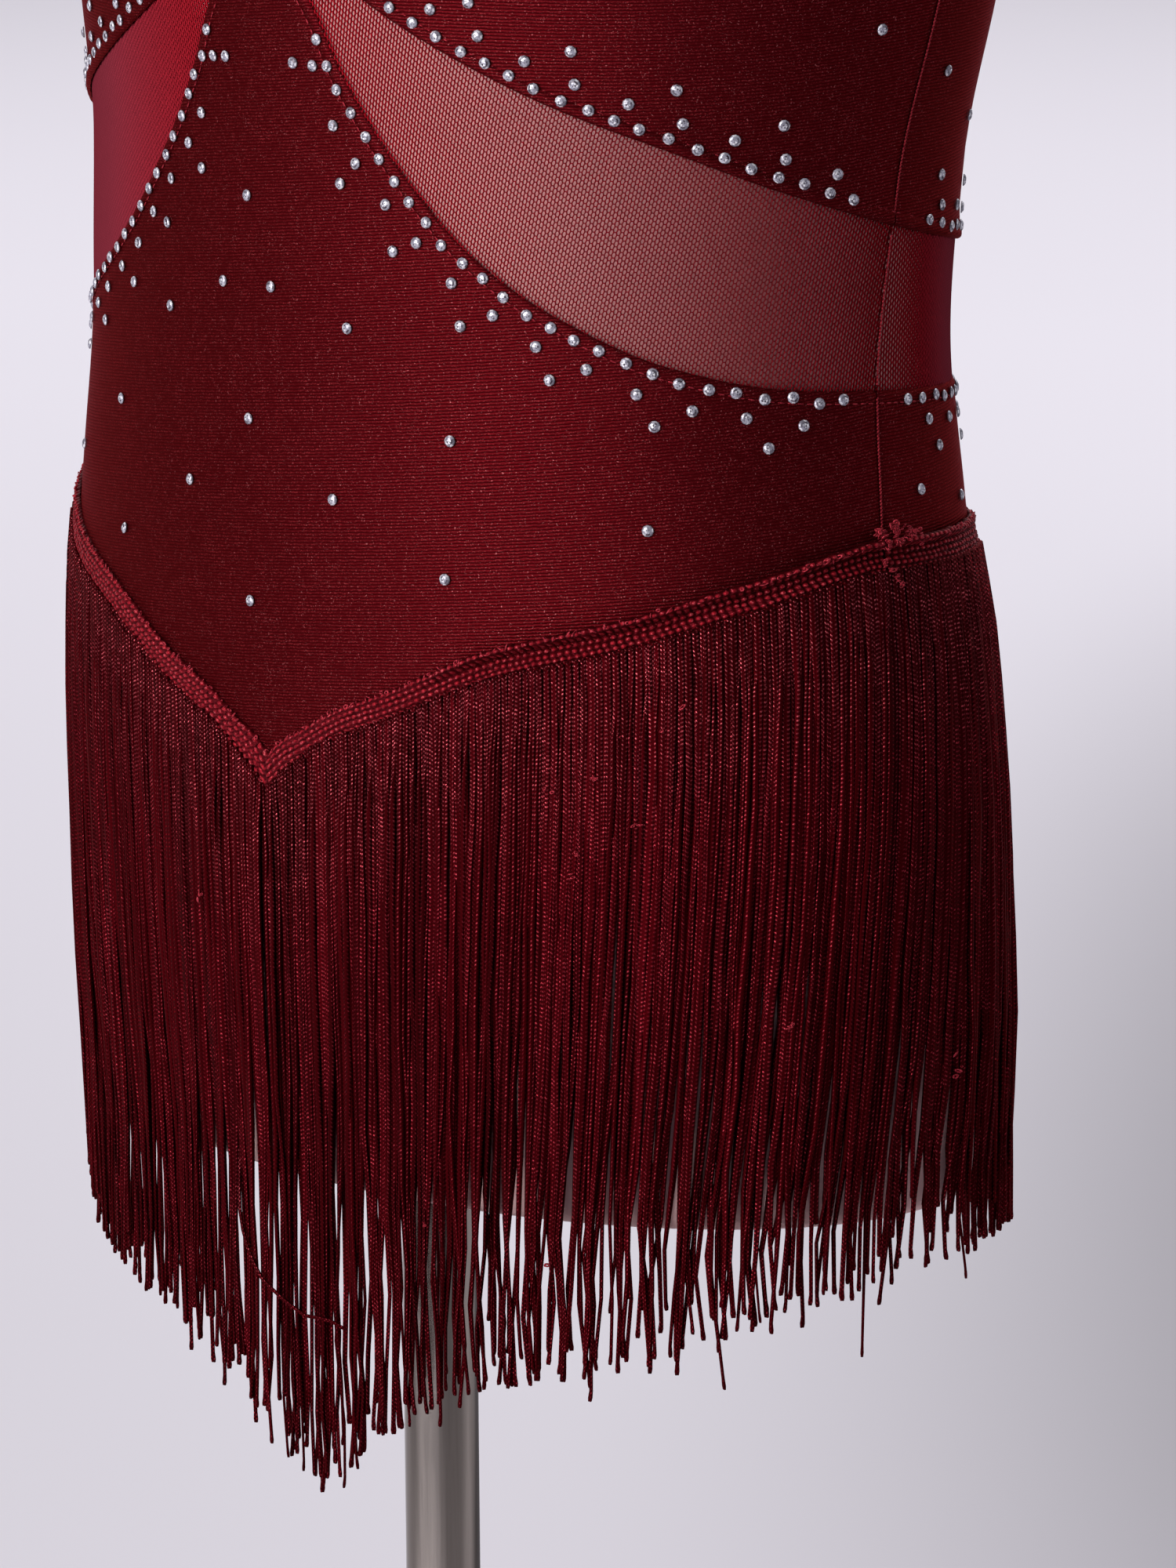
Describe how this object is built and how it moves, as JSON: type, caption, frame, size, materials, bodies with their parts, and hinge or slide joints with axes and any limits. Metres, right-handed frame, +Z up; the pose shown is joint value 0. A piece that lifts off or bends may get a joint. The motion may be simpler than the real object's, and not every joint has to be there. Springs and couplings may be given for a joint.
{
  "type": "salsa dance dress on a limbless dress form with a floor stand",
  "caption": "Stretch dance dress with net waist inserts and a pointed fringed hem, worn by a limbless dress form on a pole with a round base.",
  "frame": {"origin": "on the floor, on the axis of the stand's pole", "axes": "+Z up; the dress faces -Y; +X is the wearer's left side"},
  "size_m": [0.36, 0.36, 1.33],
  "materials": {
    "wine_knit": "fine ribbed stretch knit with a slight glitter",
    "wine_net": "sheer stretch net",
    "wine_fringe": "silky chain-stitched fringe",
    "crystal": "clear faceted stones with foiled backs",
    "form_cover": "matt jersey cover",
    "steel": "brushed"
  },
  "bodies": {
    "root": {"upper_front": "wine_knit", "upper_back": "wine_knit", "strap_left": "wine_knit", "strap_right": "wine_knit", "mesh_front_left": "wine_net", "mesh_front_right": "wine_net", "mesh_back": "wine_net", "lower_front": "wine_knit", "lower_back": "wine_knit", "fringe_front": "wine_fringe", "fringe_back": "wine_fringe", "dress_form": "form_cover", "pole": "steel", "base_plate": "steel"}
  },
  "joints": []
}
